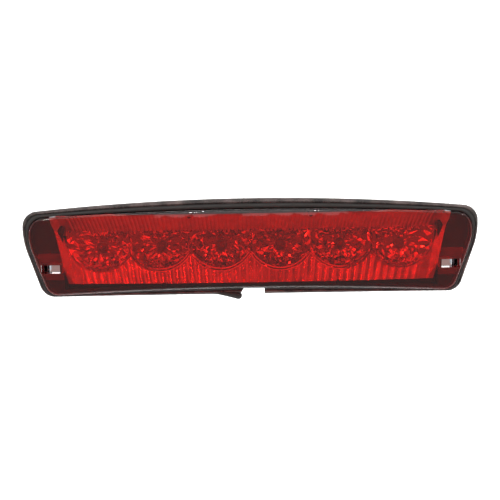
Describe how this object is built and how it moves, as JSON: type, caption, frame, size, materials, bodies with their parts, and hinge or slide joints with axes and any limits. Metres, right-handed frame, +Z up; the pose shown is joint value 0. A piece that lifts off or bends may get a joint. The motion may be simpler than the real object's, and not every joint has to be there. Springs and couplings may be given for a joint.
{
  "type": "third brake light",
  "caption": "Centre high-mounted brake light: crowned red lens over a faceted reflector, black housing, rubber perimeter seal and end release clips.",
  "frame": {"origin": "midway between the two locating pegs, on the plane of the rest pads at the back", "axes": "+X along the lamp, to the right as seen from the front; +Z up; +Y into the vehicle, so the lens faces -Y"},
  "size_m": [0.3496, 0.046, 0.0773],
  "materials": {
    "lens_red": "clear deep red moulded acrylic, polished",
    "housing_black": "black moulded ABS, satin",
    "seal_rubber": "black extruded EPDM, satin",
    "bond_clear": "cured adhesive",
    "reflector_metal": "vacuum-metallised plastic, bright",
    "screw_steel": "zinc plated, black passivated",
    "board_green": "glass-fibre laminate under solder mask",
    "led_epoxy": "pale epoxy package",
    "led_dome_clear": "clear epoxy dome",
    "chip_black": "moulded epoxy, matt",
    "chip_ceramic": "fired ceramic",
    "terminal_tin": "tinned brass",
    "connector_nylon": "natural glass-filled nylon",
    "gasket_silicone": "moulded silicone",
    "peg_nylon": "natural nylon",
    "vent_polymer": "moulded polypropylene",
    "membrane_white": "expanded PTFE film",
    "spring_steel": "blued spring steel",
    "pin_steel": "ground steel pin"
  },
  "bodies": {
    "lamp": {"lens": "lens_red", "bond_bead": "bond_clear", "perimeter_seal": "seal_rubber", "reflector": "reflector_metal", "reflector_screws": "screw_steel", "housing": "housing_black", "locating_pegs": "peg_nylon", "circuit_board": "board_green", "led_packages": "led_epoxy", "led_domes": "led_dome_clear", "resistors": "chip_black", "polarity_diodes": "chip_black", "surge_suppressor": "chip_black", "ceramic_capacitors": "chip_ceramic", "board_screws": "screw_steel", "connector_shell": "connector_nylon", "terminal_pins": "terminal_tin", "connector_gasket": "gasket_silicone", "vent_cap": "vent_polymer", "vent_membrane": "membrane_white", "clip_pin_right": "pin_steel", "clip_pin_left": "pin_steel"},
    "clip_right": {"release_clip_right": "spring_steel"},
    "clip_left": {"release_clip_left": "spring_steel"}
  },
  "joints": [
    {"name": "release_clip_right_swing", "type": "hinge", "parent": "lamp", "child": "clip_right", "pos_m": [0.1583, -0.011, -0.0148], "axis": [0, 0, 1], "range_deg": [0, 14], "stiffness_Nm_per_rad": 0.35, "springref_deg": -11.46},
    {"name": "release_clip_left_swing", "type": "hinge", "parent": "lamp", "child": "clip_left", "pos_m": [-0.1583, -0.011, -0.0148], "axis": [0, 0, -1], "range_deg": [0, 14], "stiffness_Nm_per_rad": 0.35, "springref_deg": -11.46}
  ]
}
